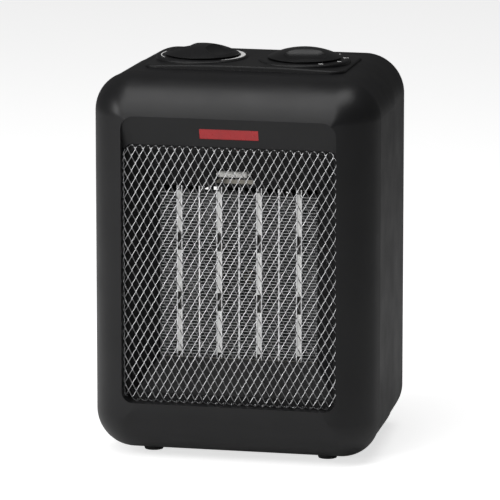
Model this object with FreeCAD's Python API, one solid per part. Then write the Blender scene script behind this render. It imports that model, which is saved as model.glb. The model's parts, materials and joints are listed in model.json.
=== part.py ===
import FreeCAD, Part
import math
import os

from FreeCAD import Vector

# A compact ceramic fan heater. Millimetres, +Z up, front facing -Y.
# The origin is the middle of the base, on the surface that the heater stands on.

# ---- driving dimensions ----
WIDTH = 188.0
BODY_HEIGHT = 248.0
DEPTH = 146.0
FOOT_HEIGHT = 3.0
CORNER_R = 26.0
WALL = 2.4
PILLOW_R = 38.0
PILLOW_STEPS = (10, 20, 32, 44, 56, 68, 79, 90)

BEZEL_DEPTH = 31.4
MIDDLE_DEPTH = 60.0
HOUSING_INSET = 0.6
SEAM_INSET = 2.4
SEAM_STEP = 0.5
SEAM_CHAMFER = 0.5
REAR_INSET = 5.5
REAR_EDGE_R = 9.5
TONGUE = 3.0
TONGUE_WALL = 1.4
TONGUE_SLACK = 0.9
FIT_GAP = 0.2

OPEN_HALF = 70.5
OPEN_BOTTOM = 38.8
OPEN_TOP = 207.6
OPEN_R = 7.0
LIP_WALL = 2.4
VISOR_TOP = 226.6
VISOR_EDGE = 2.3
VISOR_DEPTH = 8.0
GRILLE_RECESS = 6.0
LIP_DEPTH = 13.0

MESH_PITCH_X = 10.38
MESH_PITCH_Z = 18.6
MESH_STRAND = 1.5
MESH_THICK = 0.9

LENS_HALF = 19.3
LENS_BOTTOM = 212.9
LENS_TOP = 219.6

PTC_HALF = 52.7
PTC_BOTTOM = 62.7
PTC_TOP = 177.6
PTC_FRONT = -37.0
PTC_DEEP = 14.0
STRIP_PITCH = 26.35
STONE_LONG = 27.5
STONE_GAP = 12.0
STONE_THICK = 2.6
ELECTRODE_THICK = 0.5
DIVIDER_THICK = 0.8
FIN_THICK = 0.35
FIN_PITCH = 4.0

FRAME_HALF = 63.0
FRAME_BOTTOM = 52.0
FRAME_TOP = 188.0
BULKHEAD_FRONT = -20.0
BULKHEAD_THICK = 3.0

FAN_Z = 120.0
FAN_R = 55.0
DUCT_R = 58.0
HUB_R = 16.0
BLADES = 5
SHAFT_R = 2.0
BORE_R = 2.04
MOTOR_SCREW_X = 23.5

PANEL_HALF = 66.0
PANEL_FRONT = -27.5
PANEL_BACK = 43.0
PLUG_MARGIN = 6.0
PANEL_RAISE = 3.5
PANEL_CROWN_R = 1300.0
SEAT_Z = 253.0
PLINTH_R = 30.0
PLINTH_RAISE = 1.1
DIAL_X = 34.0
DIAL_Y = 6.0
KNOB_R = 24.0
KNOB_TOP = 262.8
CONTROL_SHAFT_R = 3.0

FOOT_X = 58.0
FOOT_YS = (-33.0, 52.0)
FOOT_R = 7.0

TIP_Y = 2.0
PLUNGER_R = 3.65

# ---- worked out from them ----
Y_FRONT = -DEPTH / 2
Y_BACK = DEPTH / 2
Y_SEAM_1 = Y_FRONT + BEZEL_DEPTH
Y_SEAM_2 = Y_SEAM_1 + MIDDLE_DEPTH
Z_BOTTOM = FOOT_HEIGHT
Z_TOP = FOOT_HEIGHT + BODY_HEIGHT
Y_GRILLE = Y_FRONT + GRILLE_RECESS
Y_LIP = Y_FRONT + LIP_DEPTH
BULKHEAD_BACK = BULKHEAD_FRONT + BULKHEAD_THICK
PANEL_TOP = Z_TOP + PANEL_RAISE
PLINTH_TOP = PANEL_TOP + PLINTH_RAISE
KNOB_BOTTOM = PLINTH_TOP + 0.4
BEZEL_SCREWS = [(x, z) for x in (-80.0, 80.0) for z in (18.0, 236.0)]
COVER_SCREWS = [(x, z) for x in (-79.0, 79.0) for z in (60.0, 200.0)]
FRAME_SCREWS = [(x, z) for x in (-59.5, 59.5) for z in (55.0, 185.0)]
SHROUD_SCREWS = [(x, z) for x in (-61.0, 61.0) for z in (60.0, 180.0)]
PANEL_SCREWS = [(x, y) for x in (-54.0, 54.0) for y in (-15.0, 31.0)]
STRIPS = [STRIP_PITCH * (i - 1.5) for i in range(4)]
CORD_X = 58.0
CORD_Z = 28.0


# ---- helpers ----
def box(x0, x1, y0, y1, z0, z1):
    return Part.makeBox(x1 - x0, y1 - y0, z1 - z0, Vector(x0, y0, z0))


def rod_x(y, z, r, x0, x1):
    return Part.makeCylinder(r, x1 - x0, Vector(x0, y, z), Vector(1, 0, 0))


def rod_y(x, z, r, y0, y1):
    return Part.makeCylinder(r, y1 - y0, Vector(x, y0, z), Vector(0, 1, 0))


def rod_z(x, y, r, z0, z1):
    return Part.makeCylinder(r, z1 - z0, Vector(x, y, z0), Vector(0, 0, 1))


def fuse(first, *others):
    return first.multiFuse(list(others)).removeSplitter()


def cut(shape, *tools):
    return shape.cut(Part.makeCompound(list(tools)))


def rounded_wire(half, z0, z1, r, y):
    """A rounded rectangle, centred on x = 0, in the plane y."""
    edges = []
    ends = []
    corners = ((1, z1 - r, 0), (-1, z1 - r, 90), (-1, z0 + r, 180), (1, z0 + r, 270))
    for side, cz, start in corners:
        cx = side * (half - r)
        points = []
        for turn in (0, 45, 90):
            angle = math.radians(start + turn)
            points.append(Vector(cx + r * math.cos(angle), y, cz + r * math.sin(angle)))
        edges.append(Part.Arc(*points).toShape())
        ends.append((points[0], points[2]))
    sides = [Part.makeLine(ends[i][1], ends[(i + 1) % 4][0]) for i in range(4)]
    ordered = []
    for arc, side in zip(edges, sides):
        ordered += [arc, side]
    return Part.Wire(ordered)


def rounded_prism(half, z0, z1, r, y0, y1):
    face = Part.Face(rounded_wire(half, z0, z1, r, y0))
    return face.extrude(Vector(0, y1 - y0, 0))


def tapered_prism(half_a, half_b, z0, z1, r, y0, y1):
    wires = [rounded_wire(half_a, z0, z1, r, y0), rounded_wire(half_b, z0, z1, r, y1)]
    return Part.makeLoft(wires, True, True)


def hexagon(centre, axis, across_flats, thick):
    """A hexagonal prism that starts at centre and runs along axis."""
    radius = across_flats / math.sqrt(3)
    plane = FreeCAD.Rotation(Vector(0, 0, 1), axis)
    points = []
    for i in range(7):
        angle = math.radians(60 * i)
        flat = Vector(radius * math.cos(angle), radius * math.sin(angle), 0)
        points.append(centre + plane.multVec(flat))
    face = Part.Face(Part.makePolygon(points))
    return face.extrude(Vector(axis) * thick)


def behind_slope(offset):
    """Everything further back than the visor's sloped face, moved back by offset."""
    y_low = Y_FRONT + VISOR_DEPTH + offset
    y_high = Y_FRONT + VISOR_EDGE + offset
    run = (y_high - y_low) / (VISOR_TOP - OPEN_TOP)
    z_low, z_high = OPEN_TOP - 20, VISOR_TOP + 20
    points = [
        Vector(-100, y_low + run * (z_low - OPEN_TOP), z_low),
        Vector(-100, y_low + run * (z_high - OPEN_TOP), z_high),
        Vector(-100, 0, z_high),
        Vector(-100, 0, z_low),
    ]
    face = Part.Face(Part.makePolygon(points + points[:1]))
    return face.extrude(Vector(200, 0, 0))


# ---- casing ----
def bezel_block(skin):
    """The front moulding's outline, whose sides roll over into the front, less a skin."""
    start = math.cos(math.radians(PILLOW_STEPS[0]))
    wires = []
    for step in PILLOW_STEPS:
        turn = math.radians(step)
        inset = PILLOW_R * (start - math.cos(turn)) + skin * math.cos(turn)
        y = Y_FRONT + PILLOW_R * (1 - math.sin(turn)) + skin * math.sin(turn)
        wires.append(rounded_wire(WIDTH / 2 - inset, Z_BOTTOM + inset, Z_TOP - inset,
                                  max(CORNER_R - inset, 1.0), y))
    return Part.makeLoft(wires, True, False)


def front_bezel():
    outside = bezel_block(0)
    shell = outside.cut(bezel_block(WALL))
    lip = rounded_prism(OPEN_HALF + LIP_WALL, OPEN_BOTTOM - LIP_WALL, VISOR_TOP + LIP_WALL,
                        OPEN_R + LIP_WALL, Y_FRONT, Y_LIP)
    hollow_visor = rounded_prism(OPEN_HALF, OPEN_TOP + LIP_WALL, VISOR_TOP, OPEN_R,
                                 Y_FRONT, Y_LIP).common(behind_slope(LIP_WALL))
    lip = lip.common(outside).cut(hollow_visor)
    bosses = [rod_y(x, z, 4.5, Y_SEAM_1 - 20, Y_SEAM_1).common(outside) for x, z in BEZEL_SCREWS]
    body = fuse(shell, lip, *bosses)
    opening = rounded_prism(OPEN_HALF, OPEN_BOTTOM, OPEN_TOP, OPEN_R, Y_FRONT - 5, Y_SEAM_1)
    visor = rounded_prism(OPEN_HALF, OPEN_BOTTOM + 60, VISOR_TOP, OPEN_R + 2,
                          Y_FRONT - 5, Y_LIP).cut(behind_slope(0))
    window = box(-LENS_HALF - 0.1, LENS_HALF + 0.1, Y_FRONT - 5, Y_SEAM_1 - 10,
                 LENS_BOTTOM - 0.1, LENS_TOP + 0.1)
    holes = [rod_y(x, z, 1.4, Y_SEAM_1 - 12, Y_SEAM_1 + 1) for x, z in BEZEL_SCREWS]
    return cut(body, opening, visor, window, *holes)


def tongue(half, y_seam, slack):
    """The thin wall that stands in front of a seam and slides into the next shell."""
    reach = WALL + FIT_GAP + slack
    inner = reach + TONGUE_WALL
    root = WALL - 0.5
    front = rounded_prism(half - reach, Z_BOTTOM + reach, Z_TOP - reach, CORNER_R - reach,
                          y_seam - TONGUE, y_seam + 0.5)
    back = rounded_prism(half - root, Z_BOTTOM + root, Z_TOP - root, CORNER_R - root,
                         y_seam, y_seam + TONGUE)
    bore = rounded_prism(half - inner, Z_BOTTOM + inner, Z_TOP - inner, CORNER_R - inner,
                         y_seam - TONGUE - 1, y_seam + TONGUE + 1)
    return front.fuse(back).cut(bore)


def middle_housing():
    half_1 = WIDTH / 2 - HOUSING_INSET
    half_2 = WIDTH / 2 - SEAM_INSET
    outside = tapered_prism(half_1, half_2, Z_BOTTOM, Z_TOP, CORNER_R, Y_SEAM_1, Y_SEAM_2)
    inside = tapered_prism(half_1 - WALL, half_2 - WALL, Z_BOTTOM + WALL, Z_TOP - WALL,
                           CORNER_R - WALL, Y_SEAM_1, Y_SEAM_2)
    rear_edges = [e for e in outside.Edges if e.BoundBox.YMin > Y_SEAM_2 - 0.1]
    sleeve = outside.makeFillet(0.5, rear_edges)
    front_edges = [e for e in sleeve.Edges if e.BoundBox.YMax < Y_SEAM_1 + 0.1]
    sleeve = sleeve.makeChamfer(SEAM_CHAMFER, front_edges).cut(inside)
    bulkhead = outside.common(box(-100, 100, BULKHEAD_FRONT, BULKHEAD_BACK, 0, 300))
    posts = [rod_y(x, z, 4.5, Y_SEAM_1 + 0.05, BULKHEAD_FRONT) for x, z in BEZEL_SCREWS]
    posts += [rod_y(x, z, 4.0, BULKHEAD_BACK, 30) for x, z in COVER_SCREWS]
    body = fuse(sleeve, tongue(WIDTH / 2, Y_SEAM_1, TONGUE_SLACK), bulkhead, *posts)
    tools = [box(-PTC_HALF - 1, PTC_HALF + 1, -60, 60, PTC_BOTTOM - 1, PTC_TOP + 1)]
    tools += [rod_y(x, z, 1.6, -60, 0) for x, z in BEZEL_SCREWS]
    tools += [rod_y(x, z, 1.4, 14, 40) for x, z in COVER_SCREWS]
    tools += [rod_y(x, z, 1.45, -30, 0) for x, z in FRAME_SCREWS + SHROUD_SCREWS]
    tools += [rod_z(x, FOOT_YS[0], 2.5, 0, 10) for x in (-FOOT_X, FOOT_X)]
    tools.append(rod_z(0, TIP_Y, 4.4, 0, 10))
    tools.append(box(-60, 60, PANEL_FRONT + PLUG_MARGIN, 60, Z_TOP - 10, Z_TOP + 1))
    tools.append(box(70, 82, -30, 0, 90, 100))
    return cut(body, *tools)


def intake_slots():
    slots = []
    for column in range(20):
        x = -58.9 + 6.2 * column
        for row in range(4):
            z = 63.0 + 30.0 * row
            slot = box(x - 1.5, x + 1.5, 60, 90, z, z + 24)
            ends = [rod_y(x, z, 1.5, 60, 90), rod_y(x, z + 24, 1.5, 60, 90)]
            slots.append(fuse(slot, *ends))
    return slots


def rear_cover():
    half_1 = WIDTH / 2 - SEAM_INSET - SEAM_STEP
    half_2 = WIDTH / 2 - REAR_INSET
    outside = tapered_prism(half_1, half_2, Z_BOTTOM, Z_TOP, CORNER_R, Y_SEAM_2, Y_BACK)
    back_edges = [e for e in outside.Edges if e.BoundBox.YMin > Y_BACK - 0.1]
    outside = outside.makeFillet(REAR_EDGE_R, back_edges)
    seam_edges = [e for e in outside.Edges if e.BoundBox.YMax < Y_SEAM_2 + 0.1]
    outside = outside.makeChamfer(SEAM_CHAMFER, seam_edges)
    inside = tapered_prism(half_1 - WALL, half_2 - WALL, Z_BOTTOM + WALL, Z_TOP - WALL,
                           CORNER_R - WALL, Y_SEAM_2, Y_BACK - WALL)
    inner_edges = [e for e in inside.Edges if e.BoundBox.YMin > Y_BACK - WALL - 0.1]
    inside = inside.makeFillet(REAR_EDGE_R - WALL, inner_edges)
    shell = outside.cut(inside)
    grip_wall = rounded_prism(41, 200.5, 232.5, 11, 54, Y_BACK - 0.5)
    grip_space = rounded_prism(38.6, 202.9, 230.1, 8.6, 56.4, Y_BACK + 5)
    posts = [rod_y(x, z, 5.5, 30.1, Y_BACK).common(outside) for x, z in COVER_SCREWS]
    body = fuse(shell, tongue(half_1, Y_SEAM_2, 0), grip_wall, *posts)
    tools = [grip_space] + intake_slots()
    tools += [rod_y(x, z, 1.6, 20, 60) for x, z in COVER_SCREWS]
    tools += [rod_y(x, z, 3.4, 40, 90) for x, z in COVER_SCREWS]
    tools += [rod_z(x, FOOT_YS[1], 2.5, 0, 10) for x in (-FOOT_X, FOOT_X)]
    tools.append(box(-60, 60, 0, PANEL_BACK - PLUG_MARGIN, Z_TOP - 10, Z_TOP + 1))
    tools.append(rod_y(CORD_X, CORD_Z, 6.0, 60, 90))
    tools.append(rod_y(CORD_X, CORD_Z, 8.7, Y_BACK - 1.2, 90))
    return cut(body, *tools)


def control_panel():
    """The plate on the top, crowned from side to side, with a round seat for each dial."""
    plate = box(-PANEL_HALF, PANEL_HALF, PANEL_FRONT, PANEL_BACK, Z_TOP + 0.05, PANEL_TOP + 1)
    crown = Part.makeCylinder(PANEL_CROWN_R, 200, Vector(0, -100, PANEL_TOP - PANEL_CROWN_R),
                              Vector(0, 1, 0))
    plate = plate.common(crown)
    upright = [e for e in plate.Edges if e.BoundBox.ZLength > 1 and e.BoundBox.XLength < 1]
    plate = plate.makeFillet(9.0, upright)
    top_edges = [e for e in plate.Edges if e.BoundBox.ZMin > Z_TOP + 1.2]
    plate = plate.makeFillet(1.2, top_edges)
    plug = box(-59.8, 59.8, PANEL_FRONT + PLUG_MARGIN + FIT_GAP, PANEL_BACK - PLUG_MARGIN - FIT_GAP,
               Z_TOP - WALL, Z_TOP + 1)
    plinths = []
    for x in (-DIAL_X, DIAL_X):
        plinth = rod_z(x, DIAL_Y, PLINTH_R, Z_TOP + 0.5, PLINTH_TOP)
        rim = [e for e in plinth.Edges if e.BoundBox.ZMin > PLINTH_TOP - 0.01]
        plinths.append(plinth.makeFillet(1.4, rim))
    bosses = [rod_z(x, y, 3.5, Z_TOP - 6, Z_TOP - WALL + 0.5) for x, y in PANEL_SCREWS]
    body = fuse(plate, plug, *(plinths + bosses))
    tools = []
    for x in (-DIAL_X, DIAL_X):
        tools.append(rod_z(x, DIAL_Y, 11.0, SEAT_Z, PLINTH_TOP + 1))
        tools.append(rod_z(x, DIAL_Y, 5.1, Z_TOP - 20, PLINTH_TOP + 1))
    tools += [rod_z(x, y, 1.3, Z_TOP - 8, Z_TOP - 0.5) for x, y in PANEL_SCREWS]
    return cut(body, *tools)


def rubber_feet():
    feet = []
    for x in (-FOOT_X, FOOT_X):
        for y in FOOT_YS:
            pad = Part.makeCone(FOOT_R - 1, FOOT_R, FOOT_HEIGHT, Vector(x, y, 0))
            stem = rod_z(x, y, 2.4, FOOT_HEIGHT, FOOT_HEIGHT + WALL)
            button = rod_z(x, y, 3.4, FOOT_HEIGHT + WALL, FOOT_HEIGHT + WALL + 1.5)
            feet.append(fuse(pad, stem, button))
    return Part.makeCompound(feet)


# ---- front: mesh, retainer, window ----
def front_grille():
    gap = 0.4
    half = OPEN_HALF - gap
    bottom, top = OPEN_BOTTOM + gap, OPEN_TOP - gap
    tray = rounded_prism(half, bottom, top, OPEN_R, Y_GRILLE, Y_LIP)
    rim_wall = 0.9
    space = rounded_prism(half - rim_wall, bottom + rim_wall, top - rim_wall,
                          OPEN_R - rim_wall, Y_GRILLE - 1, Y_LIP + 1)
    sheet = rounded_prism(half, bottom, top, OPEN_R, Y_GRILLE, Y_GRILLE + MESH_THICK)
    columns = int(round(2 * half / MESH_PITCH_X))
    rows = int(round((top - bottom) / MESH_PITCH_Z))
    pitch_x = 2 * half / columns
    pitch_z = (top - bottom) / rows
    slope = math.hypot(pitch_x, pitch_z)
    open_x = pitch_x / 2 - MESH_STRAND / 2 * slope / pitch_z
    open_z = pitch_z / 2 - MESH_STRAND / 2 * slope / pitch_x
    keep = rounded_prism(half - 1.4, bottom + 1.4, top - 1.4, OPEN_R - 1.4,
                         Y_GRILLE - 1, Y_GRILLE + 2)
    holes = []
    for i in range(2 * columns + 1):
        for j in range(2 * rows + 1):
            if (i + j) % 2:
                continue
            x = -half + pitch_x / 2 * i
            z = bottom + pitch_z / 2 * j
            tips = ((x + open_x, z), (x, z + open_z), (x - open_x, z), (x, z - open_z))
            points = [Vector(px, Y_GRILLE - 1, pz) for px, pz in tips]
            face = Part.Face(Part.makePolygon(points + points[:1]))
            hole = face.extrude(Vector(0, 3, 0))
            inside = abs(x) < half - pitch_x / 2 and bottom + pitch_z / 2 < z < top - pitch_z / 2
            if not inside:
                hole = hole.common(keep)
            if hole.Volume > 1.0:
                holes.append(hole)
    return fuse(tray.cut(space), cut(sheet, *holes))


def grille_retainer():
    outside = rounded_prism(75, 35, 211, 12, Y_LIP + 0.05, Y_LIP + 2.4)
    inside = rounded_prism(67, 43, 204, 6, Y_LIP - 1, Y_LIP + 4)
    return outside.cut(inside)


def indicator_lens():
    pane = box(-LENS_HALF, LENS_HALF, Y_FRONT - 5, Y_LIP, LENS_BOTTOM, LENS_TOP)
    pane = pane.common(behind_slope(0.3)).cut(behind_slope(3.0))
    flange = box(-LENS_HALF - 2.5, LENS_HALF + 2.5, Y_FRONT, Y_LIP, LENS_BOTTOM - 1.5,
                 LENS_TOP + 1.5)
    flange = flange.common(behind_slope(LIP_WALL + 0.05)).cut(behind_slope(3.8))
    return fuse(pane, flange)


LAMP_Y = -58.2
LAMP_Z = 216.2


def indicator_lamp():
    bulb = rod_x(LAMP_Y, LAMP_Z, 2.7, -7, 7)
    ends = [Part.makeSphere(2.7, Vector(x, LAMP_Y, LAMP_Z)) for x in (-7, 7)]
    return fuse(bulb, *ends)


def lamp_holder():
    block = box(-12, 12, LAMP_Y - 3.2, LAMP_Y + 4.2, LAMP_Z - 4.1, LAMP_Z + 4.1)
    cradle = rod_x(LAMP_Y, LAMP_Z, 2.9, -10.2, 10.2)
    mouth = box(-10.2, 10.2, LAMP_Y - 6, LAMP_Y, LAMP_Z - 2.9, LAMP_Z + 2.9)
    return cut(block, cradle, mouth)


# ---- heater ----
def outlet_duct():
    def hopper(grow, front_y, back_y):
        front = (70 + grow, OPEN_BOTTOM - 1 - grow, OPEN_TOP + 1 + grow)
        back = (PTC_HALF + 0.6 + grow, PTC_BOTTOM - 0.6 - grow, PTC_TOP + 0.6 + grow)
        wires = []
        for (half, z0, z1), y in ((front, front_y), (back, back_y)):
            points = [Vector(-half, y, z0), Vector(half, y, z0), Vector(half, y, z1),
                      Vector(-half, y, z1), Vector(-half, y, z0)]
            wires.append(Part.makePolygon(points))
        return Part.makeLoft(wires, True, True)

    y0, y1 = Y_LIP + 2.5, PTC_FRONT - 2.1
    walls = hopper(0, y0, y1).cut(hopper(-1.2, y0, y1))
    notch = box(-14, 11, -60, y1 + 1, 179.5, 190)
    return walls.cut(notch)


def heater_frame():
    ring = box(-FRAME_HALF, FRAME_HALF, PTC_FRONT - 2, BULKHEAD_FRONT - 0.05,
               FRAME_BOTTOM, FRAME_TOP)
    space = box(-PTC_HALF - 0.5, PTC_HALF + 0.5, -60, 0, PTC_BOTTOM - 3.5, PTC_TOP + 3.5)
    slot = box(-14, 11, -60, PTC_FRONT + 4, PTC_TOP, FRAME_TOP + 1)
    holes = [rod_y(x, z, 1.6, -60, 0) for x, z in FRAME_SCREWS]
    return cut(ring, space, slot, *holes)


def ptc_end_bars():
    y0, y1 = PTC_FRONT, PTC_FRONT + PTC_DEEP
    upper = box(-PTC_HALF, PTC_HALF, y0 + 5, y1, PTC_TOP + 0.1, PTC_TOP + 3.4)
    lower = box(-PTC_HALF, PTC_HALF, y0, y1, PTC_BOTTOM - 3.4, PTC_BOTTOM - 0.1)
    return Part.makeCompound([upper, lower])


def offset_line(points, distance):
    """A zigzag in the XZ plane moved sideways by distance, with mitred corners."""
    moved = []
    for i, point in enumerate(points):
        before = points[max(i - 1, 0)]
        after = points[min(i + 1, len(points) - 1)]
        run_in = (point - before) if i else (after - point)
        run_out = (after - point) if i < len(points) - 1 else run_in
        normal_in = Vector(-run_in.z, 0, run_in.x).normalize()
        normal_out = Vector(-run_out.z, 0, run_out.x).normalize()
        mitre = (normal_in + normal_out).normalize()
        moved.append(point + mitre * (distance / mitre.dot(normal_in)))
    return moved


def ptc_fins():
    """Eight ribbons, each folded to and fro between a contact plate and a divider."""
    fins = []
    margin = FIN_THICK / 2 + 0.05
    fold = 0.45
    waves = int((PTC_TOP - PTC_BOTTOM - 2 * margin) / FIN_PITCH)
    for strip in STRIPS:
        for side in (-1, 1):
            x_in = strip + side * (STONE_THICK / 2 + ELECTRODE_THICK + margin)
            x_out = strip + side * (STRIP_PITCH / 2 - DIVIDER_THICK / 2 - margin)
            path = []
            for i in range(waves):
                z = PTC_BOTTOM + 0.4 + FIN_PITCH * i
                half = FIN_PITCH / 2
                path.append(Vector(x_out, PTC_FRONT, z))
                path.append(Vector(x_in, PTC_FRONT, z + half - fold))
                path.append(Vector(x_in, PTC_FRONT, z + half))
                path.append(Vector(x_out, PTC_FRONT, z + FIN_PITCH - fold))
            outline = offset_line(path, FIN_THICK / 2)
            outline += reversed(offset_line(path, -FIN_THICK / 2))
            face = Part.Face(Part.makePolygon(outline + outline[:1]))
            fins.append(face.extrude(Vector(0, PTC_DEEP, 0)))
    return Part.makeCompound(fins)


def stone_levels():
    """The lower end of each of the three stones in a strip."""
    total = 3 * STONE_LONG + 2 * STONE_GAP
    start = (PTC_BOTTOM + PTC_TOP - total) / 2
    return [start + i * (STONE_LONG + STONE_GAP) for i in range(3)]


def ptc_stones():
    stones = []
    for strip in STRIPS:
        for z in stone_levels():
            stones.append(box(strip - STONE_THICK / 2, strip + STONE_THICK / 2,
                              PTC_FRONT + 0.4, PTC_FRONT + PTC_DEEP - 0.4, z, z + STONE_LONG))
    return Part.makeCompound(stones)


def ptc_spacers():
    levels = stone_levels()
    gaps = [(PTC_BOTTOM, levels[0])]
    gaps += [(z + STONE_LONG, z + STONE_LONG + STONE_GAP) for z in levels[:2]]
    gaps.append((levels[2] + STONE_LONG, PTC_TOP))
    spacers = []
    for strip in STRIPS:
        for z0, z1 in gaps:
            spacers.append(box(strip - STONE_THICK / 2, strip + STONE_THICK / 2,
                               PTC_FRONT + 2, PTC_FRONT + PTC_DEEP - 1, z0 + 0.1, z1 - 0.1))
    return Part.makeCompound(spacers)


def ptc_electrodes():
    plates = []
    for strip in STRIPS:
        for side in (-1, 1):
            near = strip + side * STONE_THICK / 2
            far = near + side * ELECTRODE_THICK
            plates.append(box(min(near, far), max(near, far), PTC_FRONT,
                              PTC_FRONT + PTC_DEEP, PTC_BOTTOM, PTC_TOP))
    return Part.makeCompound(plates)


def ptc_dividers():
    plates = []
    for i in range(5):
        x = STRIP_PITCH * (i - 2)
        plates.append(box(x - DIVIDER_THICK / 2, x + DIVIDER_THICK / 2, PTC_FRONT,
                          PTC_FRONT + PTC_DEEP, PTC_BOTTOM, PTC_TOP))
    return Part.makeCompound(plates)


def thermal_fuse():
    y, z = -45.0, 186.5
    sleeve = rod_x(y, z, 2.0, -11.4, 7.1)
    leads = [rod_x(y, z, 0.5, -13.0, 8.7)]
    for x in (-13.0, 8.7):
        leads.append(rod_y(x, z, 0.5, y, PTC_FRONT - 0.5))
        leads.append(Part.makeSphere(0.5, Vector(x, y, z)))
    return fuse(sleeve, *leads)


def thermal_cutoff():
    can = rod_z(32, -29, 7.0, FRAME_TOP + 0.05, FRAME_TOP + 6)
    base = box(22, 42, -35, -23, FRAME_TOP + 0.05, FRAME_TOP + 2)
    tabs = [box(x - 0.4, x + 0.4, -31.5, -26.5, FRAME_TOP + 6, FRAME_TOP + 14) for x in (28, 36)]
    return fuse(can, base, *tabs)


def screw_y(x, z, shank_r, head_r, head_y, tip_y):
    """A pan-head screw along Y. Its head sits on head_y, away from its tip."""
    lean = 1 if tip_y > head_y else -1
    shank = rod_y(x, z, shank_r, min(head_y, tip_y), max(head_y, tip_y))
    outer = head_y - lean * 2.0
    head = rod_y(x, z, head_r, min(head_y, outer), max(head_y, outer))
    blade = box(x - head_r * 0.7, x + head_r * 0.7, min(outer, outer + lean * 0.9),
                max(outer, outer + lean * 0.9), z - 0.35, z + 0.35)
    return fuse(shank, head).cut(blade)


def screws_y(places, shank_r, head_r, head_y, tip_y):
    made = [screw_y(x, z, shank_r, head_r, head_y, tip_y) for x, z in places]
    return Part.makeCompound(made)


def panel_screws():
    screws = []
    for x, y in PANEL_SCREWS:
        shank = rod_z(x, y, 1.25, Z_TOP - 6, Z_TOP - 1)
        head = rod_z(x, y, 2.8, Z_TOP - 8, Z_TOP - 6)
        screws.append(fuse(shank, head))
    return Part.makeCompound(screws)


# ---- fan and motor ----
FAN_FRONT = -9.0
FAN_BACK = 13.0
STRUT_FRONT = 17.0
STRUT_BACK = 20.0
CORE_FRONT = 30.0
CORE_BACK = 44.0


def fan_shroud():
    plate = box(-64, 64, BULKHEAD_BACK + 0.05, BULKHEAD_BACK + 3, FAN_Z - 64, FAN_Z + 64)
    ring = rod_y(0, FAN_Z, DUCT_R + 2, BULKHEAD_BACK + 0.05, STRUT_BACK)
    bore = rod_y(0, FAN_Z, DUCT_R, -40, STRUT_BACK + 5)
    frame = fuse(plate, ring).cut(bore)
    across = box(-DUCT_R - 1, DUCT_R + 1, STRUT_FRONT, STRUT_BACK, FAN_Z - 6, FAN_Z + 6)
    upright = box(-6, 6, STRUT_FRONT, STRUT_BACK, FAN_Z - DUCT_R - 1, FAN_Z + DUCT_R + 1)
    middle = rod_y(0, FAN_Z, 29, STRUT_FRONT, STRUT_BACK)
    body = fuse(frame, across, upright, middle)
    tools = [rod_y(0, FAN_Z, 8, STRUT_FRONT - 1, STRUT_BACK + 1)]
    tools += [rod_y(x, FAN_Z, 1.5, 0, 40) for x in (-MOTOR_SCREW_X, MOTOR_SCREW_X)]
    tools += [rod_y(x, z, 1.6, -40, 0) for x, z in SHROUD_SCREWS]
    return cut(body, *tools)


def blade_section(radius, chord, pitch_deg, thick, middle_y):
    """A thin rectangle across the blade, square to the radius, which points up."""
    pitch = math.radians(pitch_deg)
    along = Vector(math.cos(pitch), math.sin(pitch), 0)
    across = Vector(-math.sin(pitch), math.cos(pitch), 0)
    centre = Vector(0, middle_y, FAN_Z + radius)
    points = []
    for a, b in ((-1, -1), (1, -1), (1, 1), (-1, 1), (-1, -1)):
        points.append(centre + along * (a * chord / 2) + across * (b * thick / 2))
    return Part.makePolygon(points)


def fan_blades():
    middle_y = (FAN_FRONT + FAN_BACK) / 2
    hub = rod_y(0, FAN_Z, HUB_R, FAN_FRONT, FAN_BACK)
    root = blade_section(HUB_R - 3.5, 17, 48, 2.0, middle_y)
    waist = blade_section(34, 30, 36, 1.8, middle_y)
    tip = blade_section(FAN_R - 2, 38, 26, 1.6, middle_y)
    blades = []
    for i in range(BLADES):
        blade = fuse(Part.makeLoft([root, waist], True, True), Part.makeLoft([waist, tip], True, True))
        blade.rotate(Vector(0, 0, FAN_Z), Vector(0, 1, 0), 360.0 / BLADES * i)
        blades.append(blade)
    limit = rod_y(0, FAN_Z, FAN_R, FAN_FRONT, FAN_BACK)
    fan = fuse(hub, *blades).common(limit)
    cup = rod_y(0, FAN_Z, HUB_R - 2.2, FAN_FRONT + 3, FAN_BACK + 1)
    cup = cup.cut(rod_y(0, FAN_Z, 5.5, FAN_FRONT, FAN_BACK + 1))
    return fan.cut(cup).cut(rod_y(0, FAN_Z, BORE_R, FAN_FRONT - 1, FAN_BACK + 1))


def fan_nut():
    nut = hexagon(Vector(0, FAN_FRONT - 2.6, FAN_Z), Vector(0, 1, 0), 7.0, 2.5)
    return nut.cut(rod_y(0, FAN_Z, BORE_R, -30, 0))


def motor_shaft():
    return rod_y(0, FAN_Z, SHAFT_R, FAN_FRONT - 3.2, CORE_BACK + 7.4)


def motor_rotor():
    body = rod_y(0, FAN_Z, 11.0, CORE_FRONT, CORE_BACK)
    return body.cut(rod_y(0, FAN_Z, BORE_R, 0, 60))


def motor_stator():
    core = box(-27, 27, CORE_FRONT, CORE_BACK, FAN_Z - 46, FAN_Z + 26)
    window = box(-18.3, 18.3, 0, 60, FAN_Z - 34, FAN_Z - 16)
    bore = rod_y(0, FAN_Z, 11.5, 0, 60)
    holes = [rod_y(x, FAN_Z, 1.6, 0, 60) for x in (-MOTOR_SCREW_X, MOTOR_SCREW_X)]
    return cut(core, window, bore, *holes)


def motor_coil():
    winding = box(-17.5, 17.5, CORE_FRONT - 7.5, CORE_BACK + 7.5, FAN_Z - 54, FAN_Z - 16.5)
    upright = [e for e in winding.Edges if e.BoundBox.XLength > 30]
    winding = winding.makeFillet(3.0, upright)
    leg = box(-30, 30, CORE_FRONT - 0.2, CORE_BACK + 0.2, FAN_Z - 46.2, FAN_Z - 33.8)
    return winding.cut(leg)


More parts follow.
